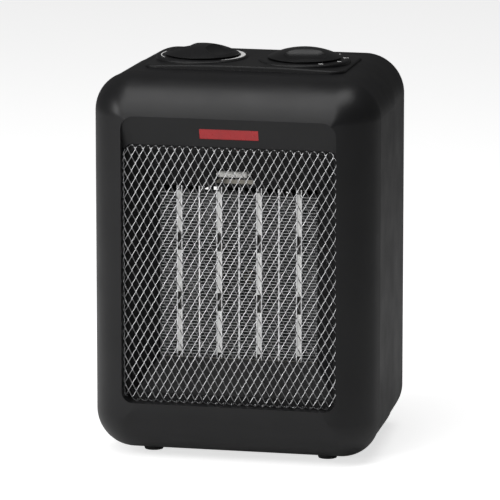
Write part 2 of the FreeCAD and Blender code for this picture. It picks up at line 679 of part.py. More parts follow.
def motor_brackets():
    brackets = []
    for plate_y, post_y in ((CORE_FRONT - 6, CORE_FRONT - 4), (CORE_BACK + 4, CORE_BACK)):
        plate = box(-28, 28, plate_y, plate_y + 2, FAN_Z - 7, FAN_Z + 7)
        posts = [rod_y(x, FAN_Z, 3.8, post_y, post_y + 4) for x in (-MOTOR_SCREW_X, MOTOR_SCREW_X)]
        collar = rod_y(0, FAN_Z, 7.5, plate_y - 1, plate_y + 3)
        body = fuse(plate, collar, *posts)
        tools = [rod_y(0, FAN_Z, 5.0, 0, 60)]
        tools += [rod_y(x, FAN_Z, 1.6, 0, 60) for x in (-MOTOR_SCREW_X, MOTOR_SCREW_X)]
        brackets.append(cut(body, *tools))
    return Part.makeCompound(brackets)


def motor_bearings():
    bearings = []
    for y in (CORE_FRONT - 7, CORE_BACK + 3):
        body = rod_y(0, FAN_Z, 4.98, y, y + 4)
        bearings.append(body.cut(rod_y(0, FAN_Z, BORE_R, 0, 60)))
    return Part.makeCompound(bearings)


def motor_grommets():
    grommets = []
    for x in (-MOTOR_SCREW_X, MOTOR_SCREW_X):
        body = rod_y(x, FAN_Z, 4.6, STRUT_BACK, CORE_FRONT - 6)
        grommets.append(body.cut(rod_y(x, FAN_Z, 1.6, 0, 60)))
    return Part.makeCompound(grommets)


# ---- controls on the top ----
CONTROL_BASE = Z_TOP - WALL - 0.05
BUSH_TOP = SEAT_Z + 3.0


def control_bush(x):
    return rod_z(x, DIAL_Y, 5.0, CONTROL_BASE, BUSH_TOP)


def thermostat_body():
    x = -DIAL_X
    block = box(x - 14, x + 14, DIAL_Y - 9, DIAL_Y + 9, CONTROL_BASE - 11, CONTROL_BASE)
    posts = [box(x + s * 10 - 2, x + s * 10 + 2, DIAL_Y - 5, DIAL_Y + 5, CONTROL_BASE - 21,
                 CONTROL_BASE - 11) for s in (-1, 1)]
    body = fuse(block, control_bush(x), *posts)
    return body.cut(rod_z(x, DIAL_Y, CONTROL_SHAFT_R + 0.05, CONTROL_BASE - 12, BUSH_TOP + 1))


def thermostat_bimetal():
    x = -DIAL_X
    strip = box(x - 24, x + 12, DIAL_Y - 4, DIAL_Y + 4, CONTROL_BASE - 22.1, CONTROL_BASE - 21.1)
    contact = rod_z(x - 22, DIAL_Y, 2.0, CONTROL_BASE - 23.1, CONTROL_BASE - 22.1)
    return fuse(strip, contact)


def control_shaft(x):
    shaft = rod_z(x, DIAL_Y, CONTROL_SHAFT_R, CONTROL_BASE - 10.5, KNOB_TOP - 1.6)
    flat = box(x - 4, x + 4, DIAL_Y + 2.2, DIAL_Y + 5, KNOB_BOTTOM + 1.0, KNOB_TOP)
    return shaft.cut(flat)


def control_knob(x, bar_deg):
    """A low domed disc with a thumb scoop each side of a bar that points along bar_deg."""
    edge_z = KNOB_BOTTOM + 0.9
    sag = KNOB_TOP - edge_z
    dome_r = (KNOB_R ** 2 + sag ** 2) / (2 * sag)
    under = Part.makeCone(KNOB_R - 2, KNOB_R, 0.6, Vector(x, DIAL_Y, KNOB_BOTTOM))
    disc = fuse(rod_z(x, DIAL_Y, KNOB_R, KNOB_BOTTOM + 0.6, KNOB_TOP + 1), under)
    dome = Part.makeSphere(dome_r, Vector(x, DIAL_Y, KNOB_TOP - dome_r))
    knob = disc.common(dome)
    bar = Vector(math.cos(math.radians(bar_deg)), math.sin(math.radians(bar_deg)), 0)
    side = Vector(-bar.y, bar.x, 0)
    scoop_r, reach, half_long = 12.0, 15.5, 8.0
    scoops = []
    for way in (-1, 1):
        centre = Vector(x, DIAL_Y, KNOB_TOP + 6.5) + side * (way * reach)
        start = centre - bar * half_long
        parts = [Part.makeCylinder(scoop_r, 2 * half_long, start, bar)]
        parts += [Part.makeSphere(scoop_r, centre + bar * (s * half_long)) for s in (-1, 1)]
        scoops.append(fuse(*parts))
    bore = rod_z(x, DIAL_Y, CONTROL_SHAFT_R + 0.03, KNOB_BOTTOM - 1, KNOB_TOP - 1.5)
    bore = bore.cut(box(x - 4, x + 4, DIAL_Y + 2.23, DIAL_Y + 5, KNOB_BOTTOM, KNOB_TOP))
    recess = rod_z(x, DIAL_Y, 9.5, KNOB_BOTTOM - 1, KNOB_BOTTOM + 1.0)
    knob = cut(knob, recess, bore)
    for scoop in scoops:
        knob = knob.cut(scoop)
    return knob


def selector_body():
    x = DIAL_X
    can = rod_z(x, DIAL_Y, 16, CONTROL_BASE - 14, CONTROL_BASE)
    tabs = []
    for i in range(5):
        angle = math.radians(72 * i + 20)
        tx, ty = x + 11 * math.cos(angle), DIAL_Y + 11 * math.sin(angle)
        tabs.append(box(tx - 0.4, tx + 0.4, ty - 2.4, ty + 2.4, CONTROL_BASE - 22,
                        CONTROL_BASE - 14))
    body = fuse(can, control_bush(x), *tabs)
    return body.cut(rod_z(x, DIAL_Y, CONTROL_SHAFT_R + 0.05, CONTROL_BASE - 12, BUSH_TOP + 1))


def control_nuts():
    nuts = []
    for x in (-DIAL_X, DIAL_X):
        nut = hexagon(Vector(x, DIAL_Y, SEAT_Z + 0.05), Vector(0, 0, 1), 14.0, 2.3)
        nuts.append(nut.cut(rod_z(x, DIAL_Y, 5.05, 200, 300)))
    return Part.makeCompound(nuts)


# ---- tip-over switch ----
GUIDE_BOTTOM = Z_BOTTOM + WALL + 0.05
GUIDE_TOP = 32.0
SPRING_TOP = 30.0
SPRING_BOTTOM = 16.0
PLUNGER_TOP = 38.5
PIVOT_Y = -14.0
PIVOT_Z = 40.4


def tip_plunger():
    rod = rod_z(0, TIP_Y, PLUNGER_R, 0, PLUNGER_TOP - 2.2)
    tip = Part.makeSphere(2.2, Vector(0, TIP_Y, PLUNGER_TOP - 2.2))
    collar = rod_z(0, TIP_Y, 5.6, SPRING_BOTTOM - 2, SPRING_BOTTOM)
    return fuse(rod, tip, collar)


def tip_guide():
    body = rod_z(0, TIP_Y, 8.2, GUIDE_BOTTOM, GUIDE_TOP)
    flange = box(-14, 14, TIP_Y - 8.2, TIP_Y + 8.2, GUIDE_BOTTOM, GUIDE_BOTTOM + 2)
    room = rod_z(0, TIP_Y, 6.4, GUIDE_BOTTOM + 2, SPRING_TOP)
    bore = rod_z(0, TIP_Y, PLUNGER_R + 0.1, 0, 60)
    return cut(fuse(body, flange), room, bore)


def tip_spring():
    wire_r = 0.35
    height = SPRING_TOP - SPRING_BOTTOM - 2 * wire_r - 0.1
    helix = Part.makeHelix(2.2, height, 4.9)
    start = Part.Circle(Vector(4.9, 0, 0), Vector(0, 1, 0.07), wire_r).toShape()
    spring = Part.Wire(helix.Edges).makePipeShell([Part.Wire([start])], True, True)
    spring.translate(Vector(0, TIP_Y, SPRING_BOTTOM + wire_r + 0.05))
    return spring


def tip_microswitch():
    body = box(-3.2, 3.2, BULKHEAD_BACK + 0.05, TIP_Y + 1, PIVOT_Z + 1.8, PIVOT_Z + 12)
    cheeks = [box(min(s * 2.4, s * 3.2), max(s * 2.4, s * 3.2), PIVOT_Y - 1.6, PIVOT_Y + 1.6,
                  PIVOT_Z - 1.5, PIVOT_Z + 2) for s in (-1, 1)]
    pin = rod_x(PIVOT_Y, PIVOT_Z, 0.7, -3, 3)
    tabs = [box(-0.4, 0.4, y, y + 4, PIVOT_Z + 12, PIVOT_Z + 18) for y in (-14, -7)]
    return fuse(body, pin, *(cheeks + tabs))


def tip_lever():
    eye = rod_x(PIVOT_Y, PIVOT_Z, 1.5, -2.2, 2.2)
    arm = box(-2.2, 2.2, PIVOT_Y, TIP_Y + 4, PIVOT_Z - 1.5, PIVOT_Z - 1.0)
    return fuse(eye, arm).cut(rod_x(PIVOT_Y, PIVOT_Z, 0.78, -5, 5))


# ---- wiring ----
def terminal_block():
    block = box(40, 66, -5, 9, GUIDE_BOTTOM, GUIDE_BOTTOM + 12)
    wells = []
    for x in (44.5, 53, 61.5):
        wells.append(rod_z(x, 2, 2.4, GUIDE_BOTTOM + 7, GUIDE_BOTTOM + 13))
        wells.append(rod_y(x, GUIDE_BOTTOM + 4, 2.0, -6, 10))
    return cut(block, *wells)


def cord_bushing():
    sleeve = rod_y(CORD_X, CORD_Z, 5.9, Y_BACK - 11, Y_BACK)
    flange = rod_y(CORD_X, CORD_Z, 8.6, Y_BACK - 1.15, Y_BACK)
    return fuse(sleeve, flange).cut(rod_y(CORD_X, CORD_Z, 3.5, 50, 90))


NODES = {
    "front_bezel": front_bezel,
    "middle_housing": middle_housing,
    "rear_cover": rear_cover,
    "control_panel": control_panel,
    "rubber_feet": rubber_feet,
    "front_grille": front_grille,
    "grille_retainer": grille_retainer,
    "indicator_lens": indicator_lens,
    "indicator_lamp": indicator_lamp,
    "lamp_holder": lamp_holder,
    "outlet_duct": outlet_duct,
    "heater_frame": heater_frame,
    "ptc_end_bars": ptc_end_bars,
    "ptc_fins": ptc_fins,
    "ptc_stones": ptc_stones,
    "ptc_spacers": ptc_spacers,
    "ptc_electrodes": ptc_electrodes,
    "ptc_dividers": ptc_dividers,
    "thermal_fuse": thermal_fuse,
    "thermal_cutoff": thermal_cutoff,
    "heater_frame_screws": lambda: screws_y(FRAME_SCREWS, 1.4, 2.6, PTC_FRONT - 2, -17.2),
    "fan_shroud": fan_shroud,
    "shroud_screws": lambda: screws_y(SHROUD_SCREWS, 1.4, 2.6, BULKHEAD_BACK + 3, -19.5),
    "fan_blades": fan_blades,
    "fan_nut": fan_nut,
    "motor_shaft": motor_shaft,
    "motor_rotor": motor_rotor,
    "motor_stator": motor_stator,
    "motor_coil": motor_coil,
    "motor_brackets": motor_brackets,
    "motor_bearings": motor_bearings,
    "motor_grommets": motor_grommets,
    "motor_screws": lambda: screws_y([(-MOTOR_SCREW_X, FAN_Z), (MOTOR_SCREW_X, FAN_Z)], 1.45,
                                     3.0, CORE_BACK + 6, STRUT_FRONT),
    "thermostat_body": thermostat_body,
    "thermostat_bimetal": thermostat_bimetal,
    "thermostat_shaft": lambda: control_shaft(-DIAL_X),
    "thermostat_knob": lambda: control_knob(-DIAL_X, -102),
    "selector_body": selector_body,
    "selector_shaft": lambda: control_shaft(DIAL_X),
    "selector_knob": lambda: control_knob(DIAL_X, 13),
    "control_nuts": control_nuts,
    "panel_screws": panel_screws,
    "tip_plunger": tip_plunger,
    "tip_guide": tip_guide,
    "tip_spring": tip_spring,
    "tip_microswitch": tip_microswitch,
    "tip_lever": tip_lever,
    "terminal_block": terminal_block,
    "cord_bushing": cord_bushing,
    "bezel_screws": lambda: screws_y(BEZEL_SCREWS, 1.35, 3.0, BULKHEAD_BACK, Y_SEAM_1 - 10),
    "rear_cover_screws": lambda: screws_y(COVER_SCREWS, 1.35, 3.0, 40, 16),
}


def main():
    os.makedirs("parts", exist_ok=True)
    for name, make in NODES.items():
        shape = make()
        solids = shape.Solids
        print(f"{name}: {len(solids)} solids, {shape.Volume:.0f} mm3, valid {shape.isValid()}")
        whole = solids[0] if len(solids) == 1 else Part.makeCompound(solids)
        whole.exportStep(f"parts/{name}.step")


main()
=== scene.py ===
import json
import math
import random

import bpy
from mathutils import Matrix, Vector


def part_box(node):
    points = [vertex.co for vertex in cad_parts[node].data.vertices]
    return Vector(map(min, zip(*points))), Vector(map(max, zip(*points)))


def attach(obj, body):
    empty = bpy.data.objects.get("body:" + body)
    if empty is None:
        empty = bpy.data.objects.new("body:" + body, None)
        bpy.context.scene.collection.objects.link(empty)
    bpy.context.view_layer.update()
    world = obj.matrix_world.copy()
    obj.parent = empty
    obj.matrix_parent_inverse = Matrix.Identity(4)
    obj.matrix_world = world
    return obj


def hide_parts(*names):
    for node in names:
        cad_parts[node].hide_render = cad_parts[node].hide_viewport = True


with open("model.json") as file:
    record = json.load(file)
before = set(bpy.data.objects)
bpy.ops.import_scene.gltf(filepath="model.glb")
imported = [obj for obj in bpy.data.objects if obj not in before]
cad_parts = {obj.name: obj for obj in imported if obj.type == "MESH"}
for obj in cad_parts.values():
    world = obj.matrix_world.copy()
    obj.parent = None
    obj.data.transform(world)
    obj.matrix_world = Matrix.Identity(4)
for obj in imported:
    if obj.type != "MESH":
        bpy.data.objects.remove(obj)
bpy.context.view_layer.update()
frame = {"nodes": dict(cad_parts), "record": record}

NODES = frame["nodes"]
ROOT = "heater_body"
MM = 0.001


# ---------------------------------------------------------------- materials
class Surface:
    """One material, built up from noise, roughness and bump."""

    def __init__(self, name, colour, roughness, metallic=0.0):
        self.material = bpy.data.materials.new(name)
        self.material.use_nodes = True
        self.tree = self.material.node_tree
        self.shader = self.tree.nodes["Principled BSDF"]
        self.place = self.tree.nodes.new("ShaderNodeTexCoord").outputs["Object"]
        self.set("Base Color", (*colour, 1.0))
        self.set("Roughness", roughness)
        self.set("Metallic", metallic)
        self.colour = colour
        self.roughness = roughness
        self.last_bump = None

    def set(self, socket, value):
        self.shader.inputs[socket].default_value = value
        return self

    def node(self, kind, **values):
        made = self.tree.nodes.new(kind)
        for key, value in values.items():
            if hasattr(made, key):
                setattr(made, key, value)
            else:
                made.inputs[key.replace("_", " ").title()].default_value = value
        return made

    def link(self, source, target):
        self.tree.links.new(source, target)

    def noise(self, scale, detail=3.0, stretch=(1, 1, 1)):
        mapping = self.node("ShaderNodeMapping")
        mapping.inputs["Scale"].default_value = stretch
        self.link(self.place, mapping.inputs["Vector"])
        noise = self.node("ShaderNodeTexNoise", scale=scale, detail=detail)
        self.link(mapping.outputs["Vector"], noise.inputs["Vector"])
        return noise.outputs["Fac"]

    def spread(self, source, low, high, start=0.3, end=0.7):
        ranged = self.node("ShaderNodeMapRange")
        limits = {"From Min": start, "From Max": end, "To Min": low, "To Max": high}
        for name, value in limits.items():
            ranged.inputs[name].default_value = value
        self.link(source, ranged.inputs["Value"])
        return ranged.outputs["Result"]

    def mottle(self, scale, amount, detail=4.0, stretch=(1, 1, 1)):
        """Colour that drifts lighter and darker by amount, a share of itself."""
        mix = self.node("ShaderNodeMix", data_type="RGBA")
        mix.inputs["A"].default_value = (*[c * (1 - amount) for c in self.colour], 1)
        mix.inputs["B"].default_value = (*[min(1, c * (1 + amount)) for c in self.colour], 1)
        self.link(self.spread(self.noise(scale, detail, stretch), 0, 1), mix.inputs["Factor"])
        self.link(mix.outputs["Result"], self.shader.inputs["Base Color"])
        return self

    def smudge(self, scale, amount, detail=5.0, stretch=(1, 1, 1)):
        """Roughness that drifts up and down by amount."""
        low, high = self.roughness - amount, self.roughness + amount
        drift = self.spread(self.noise(scale, detail, stretch), low, high)
        self.link(drift, self.shader.inputs["Roughness"])
        return self

    def bump(self, height, strength, distance):
        bump = self.node("ShaderNodeBump")
        bump.inputs["Strength"].default_value = strength
        bump.inputs["Distance"].default_value = distance
        self.link(height, bump.inputs["Height"])
        if self.last_bump:
            self.link(self.last_bump, bump.inputs["Normal"])
        self.last_bump = bump.outputs["Normal"]
        self.link(self.last_bump, self.shader.inputs["Normal"])
        return self

    def grain(self, scale, strength, distance, detail=2.0, stretch=(1, 1, 1)):
        return self.bump(self.noise(scale, detail, stretch), strength, distance)

    def stripes(self, scale, direction, strength, distance):
        wave = self.node("ShaderNodeTexWave", wave_type="BANDS", bands_direction=direction,
                         scale=scale)
        self.link(self.place, wave.inputs["Vector"])
        return self.bump(wave.outputs["Fac"], strength, distance)


def moulded_black(name, level, roughness, gloss, grain_scale, grain_strength):
    """Injection-moulded ABS with a fine spark-eroded texture."""
    surface = Surface(name, (level, level, level * 1.06), roughness)
    surface.set("Specular IOR Level", gloss)
    surface.mottle(30, 0.12).smudge(45, 0.035)
    surface.grain(grain_scale, grain_strength, 0.00003)
    return surface


def plated_wire():
    surface = Surface("plated_wire", (0.62, 0.62, 0.63), 0.34, 1.0)
    surface.mottle(220, 0.16).smudge(400, 0.08).grain(1500, 0.15, 0.00004)
    return surface


def aluminium(name, level, roughness):
    surface = Surface(name, (level, level, level * 1.01), roughness, 1.0)
    surface.mottle(160, 0.10).smudge(300, 0.09)
    surface.grain(900, 0.2, 0.00004, stretch=(1, 8, 1))
    return surface


def red_window():
    surface = Surface("red_window", (0.40, 0.012, 0.016), 0.3)
    surface.mottle(120, 0.12).smudge(200, 0.04)
    surface.set("Coat Weight", 0.25).set("Coat Roughness", 0.12)
    surface.stripes(160, "X", 0.12, 0.0002)
    return surface


def fired_ceramic():
    surface = Surface("fired_ceramic", (0.90, 0.90, 0.88), 0.6)
    surface.mottle(350, 0.10).smudge(250, 0.08).grain(1800, 0.3, 0.00005)
    return surface


def rubber():
    surface = Surface("rubber", (0.018, 0.018, 0.018), 0.75)
    surface.mottle(200, 0.2).smudge(150, 0.06).grain(1400, 0.35, 0.00006)
    return surface


def clear_glass():
    surface = Surface("clear_glass", (0.95, 0.80, 0.68), 0.06)
    surface.set("Transmission Weight", 0.85).set("IOR", 1.47)
    surface.grain(300, 0.03, 0.00005)
    return surface


def glass_sleeving():
    """White braided glass-fibre sleeving."""
    surface = Surface("glass_sleeving", (0.86, 0.85, 0.82), 0.8)
    surface.mottle(600, 0.07).smudge(300, 0.05)
    surface.stripes(700, "X", 0.5, 0.0002).stripes(700, "Z", 0.5, 0.0002)
    surface.set("Sheen Weight", 0.2)
    return surface


def plain_plastic(name, colour, roughness=0.5):
    surface = Surface(name, colour, roughness)
    surface.mottle(60, 0.10).smudge(80, 0.05).grain(1600, 0.2, 0.00003)
    return surface


def brushed(name, colour, roughness=0.38):
    surface = Surface(name, colour, roughness, 1.0)
    surface.mottle(150, 0.12).smudge(250, 0.08)
    surface.grain(1200, 0.2, 0.00004, stretch=(1, 1, 14))
    return surface


def stacked_sheets():
    """The edges of the motor's punched steel sheets, stacked along Y."""
    surface = Surface("stacked_sheets", (0.23, 0.23, 0.24), 0.5, 0.9)
    surface.mottle(120, 0.25).smudge(180, 0.1)
    surface.stripes(320, "Y", 0.8, 0.0003)
    return surface


def wound_copper():
    surface = Surface("wound_copper", (0.50, 0.17, 0.06), 0.32, 0.9)
    surface.mottle(140, 0.2).smudge(200, 0.08)
    surface.stripes(450, "X", 0.9, 0.0004)
    return surface


def printed_white():
    surface = Surface("printed_white", (0.80, 0.80, 0.79), 0.45)
    surface.mottle(900, 0.06).smudge(500, 0.05)
    return surface


FINISHES = {
    "bezel": moulded_black("bezel_plastic", 0.010, 0.36, 0.32, 2600, 0.10),
    "housing": moulded_black("housing_plastic", 0.010, 0.45, 0.16, 2200, 0.22),
    "panel": moulded_black("panel_plastic", 0.010, 0.42, 0.24, 2400, 0.20),
    "knob": moulded_black("knob_plastic", 0.008, 0.34, 0.32, 2600, 0.12),
    "inner_plastic": moulded_black("inner_plastic", 0.008, 0.50, 0.25, 1800, 0.25),
    "dark_insulator": plain_plastic("dark_insulator", (0.02, 0.018, 0.016), 0.6),
    "rubber": rubber(),
    "mesh": plated_wire(),
    "lens": red_window(),
    "lamp": clear_glass(),
    "insulator": plain_plastic("cream_insulator", (0.62, 0.58, 0.50), 0.55),
    "aluminium": aluminium("fin_aluminium", 0.80, 0.36),
    "electrode": aluminium("contact_plate", 0.90, 0.40),
    "ceramic": fired_ceramic(),
    "sleeve": glass_sleeving(),
    "steel": brushed("zinc_plated_steel", (0.56, 0.56, 0.55)),
    "laminations": stacked_sheets(),
    "copper": wound_copper(),
    "bronze": brushed("sintered_bronze", (0.42, 0.27, 0.12), 0.45),
    "phenolic": plain_plastic("phenolic", (0.06, 0.030, 0.018), 0.42),
    "brass": brushed("brass", (0.68, 0.47, 0.18), 0.33),
    "spring": brushed("spring_wire", (0.55, 0.55, 0.56), 0.30),
}


def dress_cad_nodes():
    for part in frame["record"]["subparts"]:
        node = NODES[part["node"]]
        finish = FINISHES[part["material_slot"]].material
        if not node.material_slots:
            node.data.materials.append(finish)
        for slot in node.material_slots:
            slot.material = finish


# ---------------------------------------------------------------- mesh helpers
def mesh_object(name, points, faces, finish, smooth=False):
    mesh = bpy.data.meshes.new(name)
    mesh.from_pydata([tuple(p) for p in points], [], faces)
    mesh.validate()
    mesh.update()
    made = bpy.data.objects.new(name, mesh)
    bpy.context.scene.collection.objects.link(made)
    made.data.materials.append(finish)
    if smooth:
        for polygon in mesh.polygons:
            polygon.use_smooth = True
    return made


def add_ring_tube(points, faces, rings):
    """Joins rings of equal length into a closed tube with flat ends."""
    start = len(points)
    count = len(rings[0])
    for ring in rings:
        points.extend(ring)
    for r in range(len(rings) - 1):
        for k in range(count):
            a = start + r * count + k
            b = start + r * count + (k + 1) % count
            faces.append((a, b, b + count, a + count))
    faces.append(tuple(range(start + count - 1, start - 1, -1)))
    last = start + (len(rings) - 1) * count
    faces.append(tuple(range(last, last + count)))


# ---------------------------------------------------------------- front mesh
MESH_COLUMNS = 27
MESH_ROWS = 18
FIRST_BOND_X = -66.8 * MM
FIRST_BOND_Z = 204.6 * MM
STRAND_WIDTH = 0.46 * MM
STRAND_THICK = 0.50 * MM
BOND_WIDTH = 0.85 * MM
BOND_LENGTH = 1.8 * MM
STRAND_RISE = 0.34 * MM
STRAND_LEAN = 0.45
RIM_BEND = 2.2 * MM
RIM_CORNER = 6.6 * MM
ROOT_REACH = 0.35 * MM
ROOT_SPREAD = 0.25 * MM


class MeshTray:
    """Folds a flat diamond pattern into the shallow tray that the grille is."""

    def __init__(self, low, high):
        self.half = (high.x - low.x) / 2
        self.mid_x = (high.x + low.x) / 2
        self.mid_z = (high.z + low.z) / 2
        self.half_z = (high.z - low.z) / 2
        self.front = low.y + STRAND_RISE + STRAND_THICK / 2
        self.inner_r = RIM_CORNER - RIM_BEND
        depth = high.y - self.front - STRAND_THICK
        self.reach = math.pi / 2 * RIM_BEND + depth - RIM_BEND

    def outside(self, x, z):
        """How far x, z is outside the flat field, and the way out of it."""
        core_x = self.half - RIM_CORNER
        core_z = self.half_z - RIM_CORNER
        dx = x - self.mid_x
        dz = z - self.mid_z
        qx = max(abs(dx) - core_x, 0.0)
        qz = max(abs(dz) - core_z, 0.0)
        far = math.hypot(qx, qz)
        if far <= self.inner_r:
            return 0.0, (0.0, 0.0)
        way = (math.copysign(qx / far, dx), math.copysign(qz / far, dz))
        return far - self.inner_r, way

    def fold(self, x, z, lift):
        """The point x, z of the flat pattern, lift behind it, on the folded tray."""
        s, (wx, wz) = self.outside(x, z)
        if s == 0.0:
            return Vector((x, self.front + lift, z))
        angle = min(s / RIM_BEND, math.pi / 2)
        straight = max(s - RIM_BEND * math.pi / 2, 0.0)
        radius = RIM_BEND - lift
        out = radius * math.sin(angle)
        back = RIM_BEND - radius * math.cos(angle) + straight
        return Vector((x - wx * s + wx * out, self.front + back, z - wz * s + wz * out))


def bar(points, faces, tray, start, end, width, thick, steps):
    """A flat bar from start to end, each (x, z, lift) on the flat pattern, leaning upwards."""
    run_x, run_z = end[0] - start[0], end[1] - start[1]
    length = math.hypot(run_x, run_z)
    side_x, side_z = -run_z / length, run_x / length
    outline = ((-0.5, -0.25), (-0.3, -0.5), (0.3, -0.5), (0.5, -0.25), (0.5, 0.25), (0.3, 0.5),
               (-0.3, 0.5), (-0.5, 0.25))
    lean = math.copysign(STRAND_LEAN, run_x) if run_x else 0.0
    rings = []
    for i in range(steps + 1):
        t = i / steps
        x = start[0] + run_x * t
        z = start[1] + run_z * t
        lift = start[2] + (end[2] - start[2]) * t
        ring = []
        for a, b in outline:
            back = lift + b * thick + a * width * lean
            ring.append(tray.fold(x + side_x * a * width, z + side_z * a * width, back))
        rings.append(ring)
    add_ring_tube(points, faces, rings)


def grille_mesh():
    """Expanded metal: every bond leans, so each row of strands rises towards the next one."""
    low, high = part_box("front_grille")
    tray = MeshTray(low, high)
    pitch_x = (high.x - low.x) / MESH_COLUMNS
    pitch_z = (high.z - low.z) / MESH_ROWS
    points, faces = [], []
    for j in range(-4, 2 * MESH_ROWS + 4):
        z = FIRST_BOND_Z - j * pitch_z / 2
        for i in range(-4, MESH_COLUMNS + 4):
            x = FIRST_BOND_X + (i + 0.5 * (j % 2)) * pitch_x
            if tray.outside(x, z)[0] > tray.reach - BOND_LENGTH:
                continue
            foot = (x, z - BOND_LENGTH / 2, STRAND_RISE)
            head = (x, z + BOND_LENGTH / 2, -STRAND_RISE)
            bar(points, faces, tray, foot, head, BOND_WIDTH, STRAND_THICK, 2)
            for side in (-1, 1):
                next_x = x + side * pitch_x / 2
                next_z = z + pitch_z / 2
                if tray.outside(next_x, next_z)[0] > tray.reach - BOND_LENGTH:
                    continue
                next_foot = next_z - BOND_LENGTH / 2
                start = (x + side * ROOT_SPREAD, head[1] - ROOT_REACH, -STRAND_RISE)
                end = (next_x - side * ROOT_SPREAD, next_foot + ROOT_REACH, STRAND_RISE)
                bar(points, faces, tray, start, end, STRAND_WIDTH, STRAND_THICK, 3)
    piece = mesh_object("grille_mesh", points, faces, FINISHES["mesh"].material)
    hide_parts("front_grille")
    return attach(piece, ROOT)


# ---------------------------------------------------------------- heater fins
FIN_GAP = 2.0 * MM
FIN_SHEET = 0.22 * MM
FIN_WANDER = 0.12 * MM
FIN_FIRST = 0.35
TURN_RISE = 0.2 * FIN_GAP
TURN_REACH = 0.4 * MM
STRIP_COUNT = 4
STRIP_HALF = 1.9 * MM
DIVIDER_HALF = 0.5 * MM


def fin_path(x_in, x_out, bottom, top, chance):
    """A ribbon that runs to and fro between x_in and x_out, with tight round turns."""
    path = []
    levels = int((top - bottom) / FIN_GAP)
    turn = math.copysign(TURN_REACH, x_out - x_in)
    for k in range(levels):
        z = bottom + FIN_GAP * (k + FIN_FIRST) + chance.uniform(-1, 1) * FIN_WANDER
        ends = [(x_in, turn), (x_out, -turn)]
        if k % 2:
            ends.reverse()
        (start, step), (end, back) = ends
        path += [(start, z - TURN_RISE), (start + step, z), (end + back, z), (end, z + TURN_RISE)]
    return path


def heater_fins():
    """The aluminium ribbons, with their folds lying flat as in the photograph."""
    low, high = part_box("ptc_fins")
    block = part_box("ptc_dividers")[1].x
    pitch = 2 * (block - DIVIDER_HALF) / STRIP_COUNT
    chance = random.Random(4)
    points, faces = [], []
    for strip in range(STRIP_COUNT):
        middle = (strip - (STRIP_COUNT - 1) / 2) * pitch
        for side in (-1, 1):
            x_in = middle + side * (STRIP_HALF + FIN_SHEET / 2)
            x_out = middle + side * (pitch / 2 - DIVIDER_HALF - FIN_SHEET / 2)
            path = fin_path(x_in, x_out, low.z, high.z, chance)
            rings = []
            for k, (x, z) in enumerate(path):
                ax, az = path[max(k - 1, 0)]
                bx, bz = path[min(k + 1, len(path) - 1)]
                length = math.hypot(bx - ax, bz - az)
                nx, nz = -(bz - az) / length * FIN_SHEET / 2, (bx - ax) / length * FIN_SHEET / 2
                rings.append([Vector((x + nx, low.y, z + nz)), Vector((x + nx, high.y, z + nz)),
                              Vector((x - nx, high.y, z - nz)), Vector((x - nx, low.y, z - nz))])
            add_ring_tube(points, faces, rings)
    piece = mesh_object("heater_fins", points, faces, FINISHES["aluminium"].material)
    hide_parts("ptc_fins")
    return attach(piece, ROOT)


# ---------------------------------------------------------------- printed marks
PRINT = printed_white().material
INK = 0.12 * MM
PRINT_GAP = 0.01 * MM


def flat_print(name, outlines, lift_axis):
    """Thin closed slabs, one for each outline of (point, point + ink) pairs."""
    points, faces = [], []
    offset = Vector(lift_axis) * INK
    for outline in outlines:
        start = len(points)
        count = len(outline)
        points.extend(outline)
        points.extend([p + offset for p in outline])
        faces.append(tuple(range(start + count - 1, start - 1, -1)))
        faces.append(tuple(range(start + count, start + 2 * count)))
        for k in range(count):
            n = (k + 1) % count
            faces.append((start + k, start + n, start + count + n, start + count + k))
    piece = mesh_object(name, points, faces, PRINT)
    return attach(piece, ROOT)


def strip_outline(centre, radius, half_width, start_deg, end_deg, steps):
    """Outline pieces of a curved band whose half width is half_width(t) for t in 0..1."""
    quads = []
    for i in range(steps):
        corners = []
        for t, way in ((i, -1), (i, 1), (i + 1, 1), (i + 1, -1)):
            share = t / steps
            angle = math.radians(start_deg + (end_deg - start_deg) * share)
            r = radius + way * half_width(share)
            corners.append(centre + Vector((r * math.cos(angle), r * math.sin(angle), 0)))
        quads.append(corners)
    return quads


def band(name, centre, radius, half_width, start_deg, end_deg, steps):
    """A closed, curved slab of ink that lies on a level surface."""
    points, faces = [], []
    rings = []
    for i in range(steps + 1):
        share = i / steps
        angle = math.radians(start_deg + (end_deg - start_deg) * share)
        out = Vector((math.cos(angle), math.sin(angle), 0))
        inner = centre + out * (radius - half_width(share))
        outer = centre + out * (radius + half_width(share))
        up = Vector((0, 0, INK))
        rings.append([inner, outer, outer + up, inner + up])
    add_ring_tube(points, faces, rings)
    piece = mesh_object(name, points, faces, PRINT)
    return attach(piece, ROOT)


def plinth_centre(knob):
    """The middle of the round seat under a knob, just above its surface."""
    low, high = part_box(knob)
    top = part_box("control_panel")[1].z
    return Vector(((low.x + high.x) / 2, (low.y + high.y) / 2, top + PRINT_GAP))


SCALE_R = 26.7 * MM
SCALE_COOL_DEG = 217
SCALE_HOT_DEG = -50
SCALE_STEPS = 64
SCALE_THIN = 0.12
SCALE_SWELL = 1.35
SWELL_SHARE = 0.72
TIP_SHARE = 0.22
TIP_THIN = 0.08


def thermostat_scale():
    """The crescent that grows from cool to hot, clockwise round the back of the dial."""
    def half_width(share):
        swell = SCALE_THIN + SCALE_SWELL * min(share / SWELL_SHARE, 1)
        return swell * MM * min(1, (1 - share) / TIP_SHARE + TIP_THIN)

    return band("thermostat_scale", plinth_centre("thermostat_knob"), SCALE_R, half_width,
                SCALE_COOL_DEG, SCALE_HOT_DEG, SCALE_STEPS)


def arc_points(centre, radius, start_deg, end_deg, steps):
    made = []
    for i in range(steps + 1):
        angle = math.radians(start_deg + (end_deg - start_deg) * i / steps)
        made.append(centre + Vector((radius * math.cos(angle), radius * math.sin(angle), 0)))
    return made


